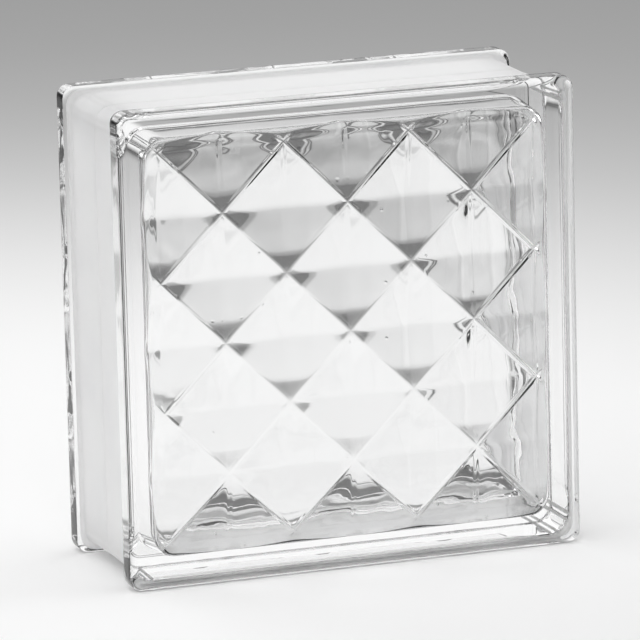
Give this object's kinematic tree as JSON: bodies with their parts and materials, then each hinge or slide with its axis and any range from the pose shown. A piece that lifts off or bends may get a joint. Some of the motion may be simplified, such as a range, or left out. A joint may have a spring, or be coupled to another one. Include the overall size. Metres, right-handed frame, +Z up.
{
  "type": "glass block",
  "caption": "Square hollow glass block for walls, with a diamond relief inside its panes and a mortar channel round its edge.",
  "frame": {"origin": "middle of the block's footprint, on the plane of the bed edges it stands on", "axes": "+Z up, +Y through the block's thickness from the front face to the back face, +X along its width"},
  "size_m": [0.19, 0.08, 0.19],
  "materials": {
    "glass": "clear pressed glass, fire polished, with a pale matt coating on the channel walls that mortar grips"
  },
  "bodies": {
    "root": {"front_half": "glass", "back_half": "glass"}
  },
  "joints": []
}
